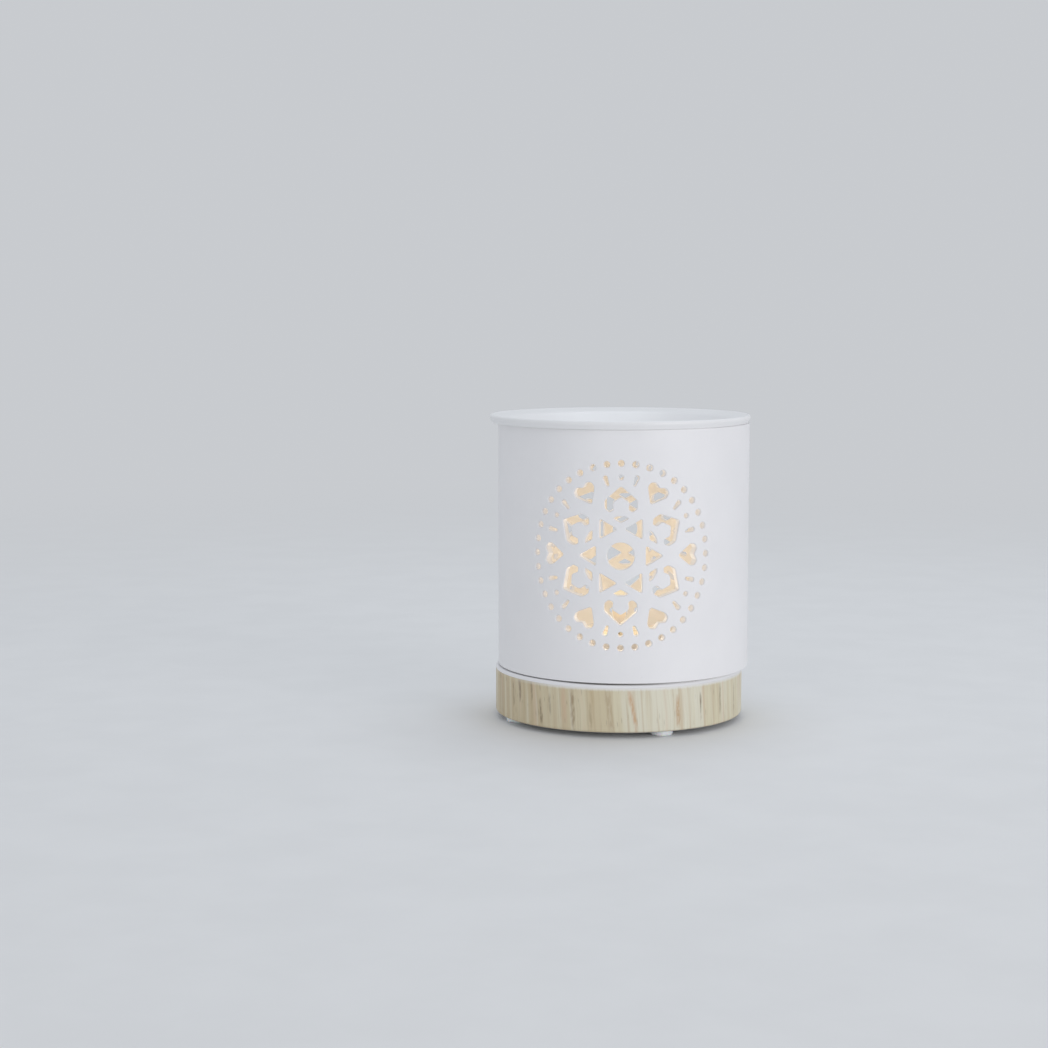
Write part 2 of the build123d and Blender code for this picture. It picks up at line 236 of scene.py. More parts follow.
# ---------------------------------------------------------------------------------------
# Materials
# ---------------------------------------------------------------------------------------
class Nodes:
    """Small helper for a node material."""

    def __init__(self, name):
        self.material = bpy.data.materials.new(name)
        self.material.use_nodes = True
        self.tree = self.material.node_tree
        self.shader = self.tree.nodes["Principled BSDF"]
        self.coord = self.tree.nodes.new("ShaderNodeTexCoord").outputs["Object"]

    def node(self, kind, inputs=None, **settings):
        n = self.tree.nodes.new(kind)
        for key, value in settings.items():
            setattr(n, key, value)
        for key, value in (inputs or {}).items():
            if isinstance(value, bpy.types.NodeSocket):
                self.tree.links.new(value, n.inputs[key])
            else:
                n.inputs[key].default_value = value
        return n

    def math(self, operation, a, b=None, c=None, clamp=False):
        inputs = {0: a}
        if b is not None:
            inputs[1] = b
        if c is not None:
            inputs[2] = c
        return self.node("ShaderNodeMath", inputs, operation=operation, use_clamp=clamp).outputs[0]

    def noise(self, vector, scale, detail=3.0, rough=0.55, distortion=0.0, kind="3D"):
        return self.node("ShaderNodeTexNoise", {"Vector": vector, "Scale": scale, "Detail": detail,
                                                "Roughness": rough, "Distortion": distortion},
                         noise_dimensions=kind).outputs["Fac"]

    def ramp(self, value, stops):
        """stops is [(position, (r, g, b)), ...], smoothly blended."""
        n = self.node("ShaderNodeValToRGB", {"Fac": value})
        n.color_ramp.interpolation = "EASE"
        while len(n.color_ramp.elements) < len(stops):
            n.color_ramp.elements.new(0.5)
        for e, (at, colour) in zip(n.color_ramp.elements, stops):
            e.position = at
            e.color = (*colour, 1.0)
        return n.outputs["Color"]

    def spread(self, value, low, high, to_low=0.0, to_high=1.0):
        return self.node("ShaderNodeMapRange", {"Value": value, "From Min": low, "From Max": high,
                                                "To Min": to_low, "To Max": to_high},
                         interpolation_type="SMOOTHSTEP").outputs["Result"]

    def mix(self, amount, a, b, blend="MIX"):
        n = self.node("ShaderNodeMix", data_type="RGBA", blend_type=blend)
        for socket, value in ((n.inputs[0], amount), (n.inputs[6], a), (n.inputs[7], b)):
            if isinstance(value, bpy.types.NodeSocket):
                self.tree.links.new(value, socket)
            elif isinstance(value, tuple):
                socket.default_value = (*value, 1.0)
            else:
                socket.default_value = value
        return n.outputs[2]

    def bump(self, height, distance, strength=1.0, normal=None):
        inputs = {"Height": height, "Distance": distance, "Strength": strength}
        if normal is not None:
            inputs["Normal"] = normal
        return self.node("ShaderNodeBump", inputs).outputs["Normal"]

    def set(self, **values):
        for key, value in values.items():
            socket = self.shader.inputs[key.replace("_", " ")]
            if isinstance(value, bpy.types.NodeSocket):
                self.tree.links.new(value, socket)
            elif isinstance(value, tuple) and len(value) == 3 and socket.type == "RGBA":
                socket.default_value = (*value, 1.0)
            else:
                socket.default_value = value
        return self.material


def ceramic(name, light=(0.864, 0.858, 0.872), dark=(0.842, 0.837, 0.852), rough=(0.40, 0.50),
            tube=False, base=False):
    """Satin white glaze over slip-cast clay: faint mottling, a little waviness, fine tooth.

    The pierced tube is thin and lit from inside, so its inner skin and the walls of its holes
    carry a little of the candle's warm light themselves."""
    m = Nodes(name)
    cloud = m.noise(m.coord, 38.0, 4.0, 0.6)
    speck = m.noise(m.coord, 900.0, 2.0, 0.5)
    colour = m.mix(m.spread(cloud, 0.3, 0.7), dark, light)
    colour = m.mix(m.spread(speck, 0.70, 0.80, 0.0, 0.18), colour, (0.66, 0.65, 0.63))
    if tube or base:
        xyz = m.node("ShaderNodeSeparateXYZ", {0: m.coord}).outputs
        x = m.math("SUBTRACT", xyz[0], TUBE_X * MM)
        reach = m.math("SQRT", m.math("ADD", m.math("MULTIPLY", x, x), m.math("MULTIPLY", xyz[1], xyz[1])))
        joint_shade_fade = m.spread(x, -0.046, -0.006, 0.2, 1.0)      # painted joint shade, fainter to the left
    if base:                           # painted shade in the joint on the rim, where the tube stands
        joint_shade = m.math("MULTIPLY", m.spread(reach, 0.0484, 0.0487), m.spread(reach, 0.0498, 0.0494))
        joint_shade = m.math("MULTIPLY", m.math("MULTIPLY", joint_shade, joint_shade_fade), m.spread(xyz[2], 0.02068, 0.02084))
        colour = m.mix(joint_shade, colour, (0.30, 0.285, 0.275))
    if tube:
        # painted shade on the underside of the tube's skin, in the joint over the base
        joint_shade = m.math("MULTIPLY", m.spread(reach, 0.04985, 0.04970), m.spread(xyz[2], 0.02155, 0.02147))
        colour = m.mix(m.math("MULTIPLY", joint_shade, joint_shade_fade), colour, (0.14, 0.135, 0.13))
        level = m.math("MULTIPLY", m.spread(xyz[2], 0.0218, 0.0250),
                       m.spread(xyz[2], 0.107, 0.116, 1.0, 0.0))
        deep = m.math("MULTIPLY", m.spread(reach, 0.04985, 0.0484, 0.0, 1.0), level)
        skin_in = m.spread(reach, 0.0466, 0.0460, 0.0, 1.0)
        colour = m.mix(m.math("MULTIPLY", deep, 0.8), colour, (0.88, 0.85, 0.81))
        amount = m.math("MULTIPLY", deep, m.math("ADD", 0.155, m.math("MULTIPLY", skin_in, 0.02)))
        m.set(Emission_Color=m.mix(skin_in, (1.0, 0.92, 0.85), (1.0, 0.85, 0.66)),
              Emission_Strength=amount)
    roughness = m.spread(m.noise(m.coord, 120.0, 3.0), 0.3, 0.7, rough[0], rough[1])
    wave = m.noise(m.coord, 55.0, 1.5, 0.4)
    tooth = m.noise(m.coord, 1500.0, 3.0, 0.6)
    normal = m.bump(wave, 0.0002, 0.2)
    normal = m.bump(tooth, 0.00002, 0.5, normal)
    return m.set(Base_Color=colour, Roughness=roughness, Normal=normal, IOR=1.5)


white = ceramic("white_ceramic", base=True)
tube_white = ceramic("tube_ceramic", tube=True)
dish_glaze = ceramic("dish_glaze", light=(0.856, 0.856, 0.864), dark=(0.838, 0.838, 0.847), rough=(0.32, 0.42))
bisque = ceramic("unglazed_ceramic", light=(0.80, 0.79, 0.77), dark=(0.74, 0.73, 0.70),
                 rough=(0.75, 0.85))


def wood_print():
    """Printed film that imitates pale wood, its straight grain running up and down the base."""
    m = Nodes("wood_effect_film")
    xyz = m.node("ShaderNodeSeparateXYZ", {0: m.coord}).outputs
    turn = m.math("ARCTAN2", xyz[0], m.math("MULTIPLY", xyz[1], -1.0))
    around = m.math("MULTIPLY", turn, BASE_R)
    up = m.math("MULTIPLY", xyz[2], 1000.0)

    def place(a, b, lane):
        return m.node("ShaderNodeCombineXYZ", {0: a, 1: b, 2: lane}).outputs[0]

    # the grain leans a little and wanders slowly
    bend = m.noise(place(m.math("MULTIPLY", around, 1 / 26.0), m.math("MULTIPLY", up, 1 / 60.0), 3.0), 1.0, 1.0)
    sway = m.noise(place(m.math("MULTIPLY", around, 1 / 4.0), m.math("MULTIPLY", up, 1 / 13.0), 9.0), 1.0, 1.0)
    across = m.math("ADD", around, m.math("MULTIPLY", m.math("SUBTRACT", bend, 0.5), 4.0))
    across = m.math("ADD", across, m.math("MULTIPLY", m.math("SUBTRACT", sway, 0.5), 0.55))
    across = m.math("ADD", across, m.math("MULTIPLY", up, 0.08))

    def at(wide, tall, lane):
        """Place in a pattern whose features are `wide` mm across the grain, `tall` along it."""
        return place(m.math("MULTIPLY", across, 1 / wide), m.math("MULTIPLY", up, 1 / tall), lane)

    def dashes(wide, tall, size, keep, soft=0.07):
        """Long soft marks along the grain, `keep` of them, each of its own strength."""
        v = m.node("ShaderNodeTexVoronoi", {"Vector": at(wide, tall, 0.0), "Scale": 1.0, "Randomness": 0.95},
                   voronoi_dimensions="2D", feature="F1")
        shade = m.node("ShaderNodeSeparateColor", {0: v.outputs["Color"]}).outputs
        reach = m.math("MULTIPLY", m.spread(shade[1], 0.0, 1.0, 0.45, 1.0), size)
        body = m.spread(m.math("SUBTRACT", v.outputs["Distance"], reach), -soft, soft * 0.5, 1.0, 0.0)
        shown = m.math("MULTIPLY", m.spread(shade[0], 1 - keep, 1 - keep + 0.02, 0.0, 1.0),
                       m.spread(shade[2], 0.0, 1.0, 0.45, 1.0))
        return m.math("MULTIPLY", body, shown)

    ragged = m.noise(place(m.math("MULTIPLY", around, 1 / 0.7), m.math("MULTIPLY", up, 1 / 4.0), 21.0), 1.0, 2.0)
    wander = m.math("ADD", m.math("MULTIPLY", m.math("SUBTRACT", ragged, 0.5), 0.9),
                    m.math("MULTIPLY", m.math("SUBTRACT", sway, 0.5), 1.2))

    patch = m.math("SUBTRACT", m.noise(place(m.math("MULTIPLY", around, 1 / 0.9), m.math("MULTIPLY", up, 1 / 3.2), 27.0),
                                       1.0, 2.0), 0.5)

    def streak(where, middle, wide, tall, lean):
        """One mark: where it stands round the base, its mid height, half width, half height, lean."""
        rise = m.math("SUBTRACT", up, middle)
        off = m.math("ADD", m.math("SUBTRACT", around, where), m.math("MULTIPLY", rise, lean))
        off = m.math("MULTIPLY", m.math("ADD", off, wander), 1 / wide)
        far = m.math("ABSOLUTE", m.math("MULTIPLY", m.math("ADD", rise, m.math("MULTIPLY", patch, 5.0)), 1 / tall))
        body = m.math("MULTIPLY", m.spread(m.math("ABSOLUTE", off), 0.1, 1.0, 1.0, 0.0), m.spread(far, 0.45, 1.15, 1.0, 0.0))
        return m.math("MULTIPLY", body, m.spread(patch, -0.14, 0.06, 0.55, 1.0))

    # pale on the right of the front, browner and busier on the left
    side = m.math("ADD", m.math("MULTIPLY", m.math("SINE", m.math("ADD", turn, 0.22)), 0.34),
                  m.math("MULTIPLY", m.math("SINE", m.math("ADD", m.math("MULTIPLY", turn, 3.0), 0.9)), 0.10))
    broad = m.noise(at(7.5, 190.0, 2.7), 1.0, 2.0, 0.5)
    pale = m.math("ADD", m.math("ADD", side, 0.56), m.math("MULTIPLY", m.math("SUBTRACT", broad, 0.5), 1.4), clamp=True)
    colour = m.ramp(pale, [(0.0, (0.540, 0.442, 0.278)), (0.35, (0.615, 0.526, 0.352)),
                           (0.70, (0.688, 0.632, 0.462)), (1.0, (0.732, 0.704, 0.575))])
    brown = m.spread(pale, 0.15, 0.95, 1.0, 0.30)

    band = m.noise(at(2.3, 80.0, 7.0), 1.0, 2.0, 0.5)
    colour = m.mix(m.spread(band, 0.48, 0.66, 0.0, 0.50), colour, (0.535, 0.420, 0.260))
    colour = m.mix(m.spread(band, 0.32, 0.46, 0.42, 0.0), colour, (0.76, 0.735, 0.620))
    blush = m.noise(at(3.6, 60.0, 15.0), 1.0, 1.0, 0.5)
    colour = m.mix(m.spread(blush, 0.56, 0.72, 0.0, 0.34), colour, (0.70, 0.53, 0.385))
    vein = m.noise(at(0.85, 36.0, 4.0), 1.0, 2.0, 0.55)
    vein = m.math("ADD", vein, m.math("MULTIPLY", patch, 0.22))
    colour = m.mix(m.math("MULTIPLY", m.spread(vein, 0.53, 0.68, 0.0, 0.36), brown), colour, (0.42, 0.325, 0.20))
    fibre = m.noise(at(0.30, 16.0, 12.0), 1.0, 2.0, 0.6)
    colour = m.mix(m.spread(fibre, 0.52, 0.74, 0.0, 0.13), colour, (0.42, 0.34, 0.22))

    rust = dashes(4.6, 44.0, 0.17, 0.32, 0.17)
    colour = m.mix(m.math("MULTIPLY", rust, 0.38), colour, (0.64, 0.40, 0.235))
    long_marks = dashes(3.2, 36.0, 0.13, 0.40, 0.10)
    colour = m.mix(m.math("MULTIPLY", m.math("MULTIPLY", long_marks, brown), 0.50), colour, (0.33, 0.24, 0.14))
    short_marks = dashes(1.5, 9.5, 0.15, 0.36, 0.10)
    colour = m.mix(m.math("MULTIPLY", m.math("MULTIPLY", short_marks, brown), 0.75), colour, (0.22, 0.16, 0.10))

    # the marks that stand out at the front
    for where, middle, wide, tall, lean, strength, tone in (
            (-47.5, 13.0, 0.80, 5.0, 0.05, 0.55, (0.27, 0.20, 0.13)),
            (-43.0, 15.4, 0.95, 4.6, 0.05, 0.80, (0.22, 0.16, 0.10)),
            (-36.0, 15.8, 0.80, 4.2, 0.05, 0.70, (0.24, 0.175, 0.11)),
            (-31.3, 8.8, 0.85, 5.6, 0.06, 0.75, (0.22, 0.16, 0.10)),
            (-27.0, 12.0, 0.80, 4.4, 0.05, 0.50, (0.30, 0.22, 0.14)),
            (-20.6, 12.5, 1.80, 9.5, 0.04, 0.42, (0.64, 0.42, 0.29)),
            (-16.8, 11.0, 1.15, 9.0, 0.05, 0.72, (0.31, 0.215, 0.125)),
            (-9.5, 9.0, 0.80, 5.5, 0.06, 0.45, (0.34, 0.25, 0.15)),
            (-2.4, 11.0, 1.90, 9.5, 0.10, 0.55, (0.40, 0.29, 0.17)),
            (6.4, 11.2, 1.45, 9.0, 0.19, 0.75, (0.58, 0.345, 0.18)),
            (24.8, 10.2, 1.50, 6.6, 0.04, 0.78, (0.50, 0.30, 0.14)),
            (35.4, 11.3, 0.60, 5.4, 0.03, 0.85, (0.25, 0.19, 0.12)),
            (46.8, 12.2, 1.00, 6.2, 0.02, 0.62, (0.32, 0.25, 0.16)),
            (58.5, 10.0, 1.20, 7.5, 0.02, 0.50, (0.38, 0.29, 0.18))):
        mark = streak(where, middle, wide, tall, lean)
        colour = m.mix(m.math("MULTIPLY", mark, strength), colour, tone)

    # the print fades out under the white rim and darkens at the bottom edge; the fade is kept weak on the left as
    # painted shade, where the rim lies in shade
    fade = m.math("ADD", up, m.math("MULTIPLY", m.math("SUBTRACT", ragged, 0.5), 0.6))
    fade = m.math("MULTIPLY", m.spread(fade, 18.1, 19.5, 0.0, 0.92),
                  m.spread(m.math("SINE", m.math("ADD", turn, 0.35)), -0.65, 0.0, 0.1, 1.0))
    colour = m.mix(fade, colour, (0.83, 0.825, 0.81))
    colour = m.mix(m.spread(up, 2.25, 2.9, 0.45, 0.0), colour, (0.33, 0.24, 0.15))

    rough = m.spread(vein, 0.3, 0.7, 0.42, 0.54)
    relief = m.math("SUBTRACT", m.math("MULTIPLY", fibre, 0.4),
                    m.math("ADD", m.math("MULTIPLY", short_marks, 0.6), m.math("MULTIPLY", long_marks, 0.6)))
    normal = m.bump(relief, 0.00004, 0.6)
    return m.set(Base_Color=colour, Roughness=rough, Normal=normal)


film = wood_print()


def silicone():
    m = Nodes("clear_pad")
    haze = m.noise(m.coord, 500.0, 2.0)
    colour = m.mix(m.spread(haze, 0.3, 0.7), (0.78, 0.79, 0.80), (0.88, 0.885, 0.89))
    rough = m.spread(m.noise(m.coord, 900.0, 2.0), 0.3, 0.7, 0.18, 0.32)
    return m.set(Base_Color=colour, Roughness=rough, Subsurface_Weight=0.35, Subsurface_Scale=0.002,
                 Normal=m.bump(haze, 0.00003, 0.4))


def foil():
    m = Nodes("candle_cup_metal")
    dull = m.noise(m.coord, 220.0, 4.0)
    drawn = m.node("ShaderNodeMapping", {"Vector": m.coord, "Scale": (160.0, 160.0, 2600.0)}).outputs[0]
    lines = m.noise(drawn, 1.0, 2.0)
    colour = m.mix(m.spread(dull, 0.3, 0.7), (0.84, 0.84, 0.85), (0.91, 0.91, 0.92))
    rough = m.spread(dull, 0.3, 0.7, 0.34, 0.48)
    normal = m.bump(lines, 0.00002, 0.5, m.bump(dull, 0.0002, 0.35))
    return m.set(Base_Color=colour, Roughness=rough, Metallic=1.0, Normal=normal)


def wax():
    m = Nodes("candle_wax")
    xyz = m.node("ShaderNodeSeparateXYZ", {0: m.coord}).outputs
    reach = m.math("SQRT", m.math("ADD", m.math("MULTIPLY", xyz[0], xyz[0]), m.math("MULTIPLY", xyz[1], xyz[1])))
    cloud = m.noise(m.coord, 160.0, 4.0)
    edge = m.spread(m.math("ADD", reach, m.math("MULTIPLY", cloud, 0.003)), 0.0125, 0.0165)
    colour = m.mix(edge, (0.86, 0.76, 0.56), (0.90, 0.88, 0.82))
    rough = m.spread(edge, 0.0, 1.0, 0.22, 0.42)
    # painted glow: the flame's light in the wax, warmest near the wick
    light = m.mix(m.spread(reach, 0.0, 0.016), (1.0, 0.74, 0.42), (0.55, 0.36, 0.18))
    return m.set(Base_Color=colour, Roughness=rough, Subsurface_Weight=0.06, Subsurface_Scale=0.004,
                 Emission_Color=light, Emission_Strength=0.13, Normal=m.bump(cloud, 0.0002, 0.3))


def cotton():
    m = Nodes("charred_wick")
    xyz = m.node("ShaderNodeSeparateXYZ", {0: m.coord}).outputs
    up = m.math("ADD", m.math("MULTIPLY", xyz[2], 1000.0), m.noise(m.coord, 900.0, 2.0))
    fibre = m.noise(m.coord, 2600.0, 3.0)
    colour = m.ramp(m.spread(up, 33.0, 39.8), [
        (0.0, (0.62, 0.55, 0.42)), (0.22, (0.20, 0.15, 0.10)), (0.45, (0.018, 0.015, 0.013)),
        (0.9, (0.02, 0.015, 0.012)), (1.0, (0.10, 0.03, 0.01))])
    ember = m.spread(up, 38.8, 39.7)
    light = m.mix(ember, (0.0, 0.0, 0.0), (1.0, 0.22, 0.03))
    return m.set(Base_Color=colour, Roughness=0.9, Emission_Color=light, Emission_Strength=2.0,
                 Normal=m.bump(fibre, 0.0001, 0.8))


def flame_light():
    m = Nodes("candle_flame")
    xyz = m.node("ShaderNodeSeparateXYZ", {0: m.coord}).outputs
    flick = m.noise(m.coord, 300.0, 1.0)
    up = m.math("ADD", m.math("MULTIPLY", xyz[2], 1000.0), m.math("MULTIPLY", flick, 1.2))
    colour = m.ramp(m.spread(up, 37.0, 60.0), [
        (0.0, (0.70, 0.58, 0.46)), (0.10, (0.86, 0.68, 0.46)), (0.28, (1.0, 0.79, 0.50)),
        (0.62, (1.0, 0.86, 0.58)), (1.0, (1.0, 0.68, 0.32))])
    return m.set(Base_Color=(0.2, 0.15, 0.1), Roughness=0.6, Emission_Color=colour, Emission_Strength=0.77)


def tin():
    m = Nodes("wick_tab_metal")
    dull = m.noise(m.coord, 700.0, 3.0)
    return m.set(Base_Color=m.mix(dull, (0.45, 0.45, 0.46), (0.62, 0.62, 0.63)), Metallic=1.0,
                 Roughness=m.spread(dull, 0.3, 0.7, 0.3, 0.5), Normal=m.bump(dull, 0.00005, 0.5))


# ---------------------------------------------------------------------------------------
# Pierced tube
# ---------------------------------------------------------------------------------------
TURN = math.radians(2.5)
HALF_WINDOW = 19                       # steps of the grid each side of a rosette
Z_WINDOW = (31.3, 109.3)
OUT_EDGE, IN_EDGE = 0.3, 0.8           # rounded rims of the tube
LOW_EDGE = 0.25                        # crisper outer edge at the bottom
HOLE_OUT, HOLE_IN = 0.45, 0.30         # softened rims of the holes
MID = np.array([TUBE_X, 0.0, 0.0])


def radial(turn):
    """Outward direction at an angle measured from the front (-Y), towards +X."""
    return np.array([math.sin(turn), -math.cos(turn), 0.0])


def across(turn):
    return np.array([math.cos(turn), math.sin(turn), 0.0])


UP = np.array([0.0, 0.0, 1.0])
tube = Skin()
z_rows = [Z_WINDOW[0] + k * 3.0 for k in range(27)]
z_below = {1: [TUBE_SKIN + LOW_EDGE + k * (Z_WINDOW[0] - TUBE_SKIN - LOW_EDGE) / 3 for k in range(4)],
           -1: [TUBE_Z0 + IN_EDGE + k * (Z_WINDOW[0] - TUBE_Z0 - IN_EDGE) / 3 for k in range(4)]}
z_above = {1: [Z_WINDOW[1] + k * (TUBE_Z1 - OUT_EDGE - Z_WINDOW[1]) / 3 for k in range(4)],
           -1: [Z_WINDOW[1] + k * (TUBE_Z1 - IN_EDGE - Z_WINDOW[1]) / 3 for k in range(4)]}
STEPS = 144


def on_wall(side, turn, z):
    """Point of the outer (1) or inner (-1) skin."""
    r = TUBE_R if side > 0 else TUBE_IN
    return tube.point(MID + radial(turn) * r + UP * z, tuple(radial(turn) * side))


for side in (1, -1):
    rows = z_below[side][:-1] + z_rows + z_above[side][1:]
    for k in range(STEPS):
        a, b = k * TURN, ((k + 1) % STEPS) * TURN
        off_front = min(abs(k + 0.5), abs(k + 0.5 - STEPS))
        off_back = abs(k + 0.5 - STEPS / 2)
        for z0, z1 in zip(rows, rows[1:]):
            held = z0 > Z_WINDOW[0] - 1e-6 and z1 < Z_WINDOW[1] + 1e-6
            if held and (off_front < HALF_WINDOW or off_back < HALF_WINDOW):
                continue
            tube.face([on_wall(side, a, z0), on_wall(side, b, z0),
                       on_wall(side, b, z1), on_wall(side, a, z1)])

# rounded top rim, and the bottom one with its narrow gap over an unglazed foot ring
def corner(r, z, soft, first, last, steps=5):
    """Rounded corner of the wall's section, about a centre at (r, z), as (r, z, nr, nz)."""
    turns = [math.radians(first + (last - first) * k / steps) for k in range(steps + 1)]
    return [(r + soft * math.cos(a), z + soft * math.sin(a), math.cos(a), math.sin(a)) for a in turns]


top_rim = (corner(TUBE_R - OUT_EDGE, TUBE_Z1 - OUT_EDGE, OUT_EDGE, 0, 90)
           + corner(TUBE_IN + IN_EDGE, TUBE_Z1 - IN_EDGE, IN_EDGE, 90, 180))
skin_rim = (corner(TUBE_R - LOW_EDGE, TUBE_SKIN + LOW_EDGE, LOW_EDGE, 0, -90)
            + [(TUBE_FOOT + 0.1, TUBE_SKIN, 0, -1)]
            + [(TUBE_FOOT, TUBE_SKIN - 0.1, 1, 0), (TUBE_FOOT, TUBE_Z0 + 0.1, 1, 0)]
            + [(TUBE_FOOT - 0.1, TUBE_Z0, 0, -1)]
            + corner(TUBE_IN + IN_EDGE, TUBE_Z0 + IN_EDGE, IN_EDGE, -90, -180))
for rim in (top_rim, skin_rim):
    for k in range(STEPS):
        a, b = k * TURN, ((k + 1) % STEPS) * TURN
        for (r0, z0, n0, m0), (r1, z1, n1, m1) in zip(rim, rim[1:]):
            bare = rim is skin_rim and r0 < TUBE_FOOT + 0.05 and z1 < TUBE_Z0 + 0.05
            tube.face([tube.point(MID + radial(t) * r + UP * z, tuple(radial(t) * n + UP * m))
                       for t, r, z, n, m in ((a, r0, z0, n0, m0), (b, r0, z0, n0, m0),
                                             (b, r1, z1, n1, m1), (a, r1, z1, n1, m1))],
                      1 if bare else 0)

# the holes: softened outer rim, straight wall, softened inner rim
hole_rings = {1: [], -1: []}           # developed outlines on each skin, for one rosette
for kind, reach, direction, lean in rosette:
    middle = reach * math.cos(math.radians(direction)) / TUBE_R
    height = ROSE_Z + reach * math.sin(math.radians(direction))
    roll = math.radians(direction - 90.0 + lean)
    c, s = math.cos(roll), math.sin(roll)
    local = [(x * c - y * s, x * s + y * c, nx * c - ny * s, nx * s + ny * c)
             for x, y, nx, ny in OUTLINES[kind]]
    rings = []
    for side, soft, skin_r, angles in ((1, HOLE_OUT, TUBE_R, (90, 67.5, 45, 22.5, 0)),
                                       (-1, HOLE_IN, TUBE_IN, (0, 30, 60, 90))):
        for angle in angles:
            a = math.radians(angle)
            grow, deep = soft * (1 - math.cos(a)), soft * (1 - math.sin(a))
            rings.append((side, angle, skin_r - side * deep, grow))
    made = []
    for side, angle, r, grow in rings:
        a = math.radians(angle)
        made.append([(middle + math.asin((x + nx * grow) / r), height + y + ny * grow, r, side, a, nx, ny)
                     for x, y, nx, ny in local])
        if angle == 90:
            hole_rings[side].append([(t, z) for t, z, *_ in made[-1]])
    for half_turn in (0.0, math.pi):
        placed = []
        for ring in made:
            row = []
            for t, z, r, side, a, nx, ny in ring:
                into = -(across(middle + half_turn) * nx + UP * ny)
                n = into * math.cos(a) + radial(t + half_turn) * side * math.sin(a)
                row.append(tube.point(MID + radial(t + half_turn) * r + UP * z, tuple(n)))
            placed.append(row)
        for one, two in zip(placed, placed[1:]):
            for i in range(len(one)):
                j = (i + 1) % len(one)
                tube.face([one[i], one[j], two[j], two[i]])

# the pierced stretches of both skins, between the holes
for side in (1, -1):
    r = TUBE_R if side > 0 else TUBE_IN
    flat, loops = [], []
    for ring in hole_rings[side]:
        loops.append(list(range(len(flat), len(flat) + len(ring))))
        flat += [(t * r, z) for t, z in ring]
    near = np.array(flat)
    edge_start = len(flat)
    for k in range(-HALF_WINDOW, HALF_WINDOW + 1):
        for z in z_rows:
            u = k * TURN * r
            on_edge = abs(k) == HALF_WINDOW or z in (z_rows[0], z_rows[-1])
            if on_edge:
                flat.append((u, z))
    border = {p: i + edge_start for i, p in enumerate(flat[edge_start:])}
    left, right = -HALF_WINDOW * TURN * r, HALF_WINDOW * TURN * r
    path = ([(k * TURN * r, z_rows[0]) for k in range(-HALF_WINDOW, HALF_WINDOW)]
            + [(right, z) for z in z_rows[:-1]]
            + [(k * TURN * r, z_rows[-1]) for k in range(HALF_WINDOW, -HALF_WINDOW, -1)]
            + [(left, z) for z in reversed(z_rows[1:])])
    fence = [border[p] for p in path]
    edges = list(zip(fence, fence[1:] + fence[:1]))
    for k in range(-2 * HALF_WINDOW + 1, 2 * HALF_WINDOW):
        for j, z in enumerate(np.arange(z_rows[0] + 1.5, z_rows[-1], 1.5)):
            u = (k + 0.5 * (j % 2)) * TURN * r / 2
            if abs(u) > right - 0.8:
                continue
            if np.min(np.hypot(near[:, 0] - u, near[:, 1] - z)) > 0.75:
                flat.append((u, float(z)))
    done = delaunay_2d_cdt([Vector(p) for p in flat], edges, loops, 0, 1e-6)
    verts, faces, inside_of = done[0], done[2], done[5]
    for half_turn in (0.0, math.pi):
        ids = [tube.point(MID + radial(v.x / r + half_turn) * r + UP * v.y,
                          tuple(radial(v.x / r + half_turn) * side)) for v in verts]
        for f, held in zip(faces, inside_of):
            if not held:
                tube.face([ids[i] for i in f])

shade = tube.build("pierced_shade", [tube_white, bisque])
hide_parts("shade")
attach(shade, "shade")

# ---------------------------------------------------------------------------------------
# Base
# ---------------------------------------------------------------------------------------
edge_r, edge_z, tuck = BASE_R - 0.9, 3.1, math.radians(60)


def on_edge(radius, turn):
    return (edge_r + radius * math.cos(turn), edge_z + radius * math.sin(turn))


groove = [(*on_edge(0.9, -math.pi / 2 + (math.pi / 2 - tuck) * k / 3), 0.0) for k in range(4)]
groove += [(*on_edge(0.6, -tuck + tuck * k / 6), 0.0) for k in range(7)]
base_profile = rounded(
    [(0, 13.8, 0), (35.0, 13.8, 2.5), (35.0, 2.2, 0.8)]
    + [(x, z, 0.02) for x, z, _ in groove]
    + [(49.1, 19.6, 0.02), (49.4, 19.6, 0.05), (49.4, 21.0, 0.8), (44.1, 21.0, 0.4),
       (44.1, 24.2, 1.0), (20.2, 24.2, 1.0), (20.2, 19.2, 0.4), (0, 19.2, 0)],
    closed=False, turn_step=12.0)
base = lathe("ceramic_base", base_profile, [white, bisque], count=180,
             slot_of=lambda r, z, i: 1 if z < 13.9 and r < 48.6 else 0)
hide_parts("base_body")
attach(base, "base")

# wood-effect band, its ends nearly meeting at the back
band_profile = [(BASE_R - 0.04, 19.58, 0.3, 1), (BASE_R, 19.54, 1, 0)]
band_profile += [(BASE_R, z, 1, 0) for z in (15.0, 10.0, 6.0)]
for k in range(8):
    a = -(tuck - math.radians(2.5)) * k / 7
    band_profile.append((*on_edge(0.9, a), math.cos(a), math.sin(a)))
a = -(tuck - math.radians(4.0))
for k in range(6):
    b = a * (1 - k / 5)
    band_profile.append((*on_edge(0.64, b), -math.cos(b), -math.sin(b)))
band_profile.append((BASE_R - 0.26, 19.58, -0.7, 0.7))
band_skin = Skin()
gap = 0.5 / BASE_R
BAND_STEPS = 200
rings = []
for k in range(BAND_STEPS + 1):
    t = math.pi + gap / 2 + (2 * math.pi - gap) * k / BAND_STEPS
    rings.append([band_skin.point(radial(t) * r + UP * z, tuple(radial(t) * nr + UP * nz))
                  for r, z, nr, nz in band_profile])
for one, two in zip(rings, rings[1:]):
    for i in range(len(band_profile)):
        j = (i + 1) % len(band_profile)
        band_skin.face([one[i], two[i], two[j], one[j]])
band_skin.faces.append(list(reversed(rings[0])))
band_skin.faces.append(list(rings[-1]))
band_skin.slots += [0, 0]
band = band_skin.build("wood_effect_band", [film])
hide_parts("wood_effect_wrap")
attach(band, "base")

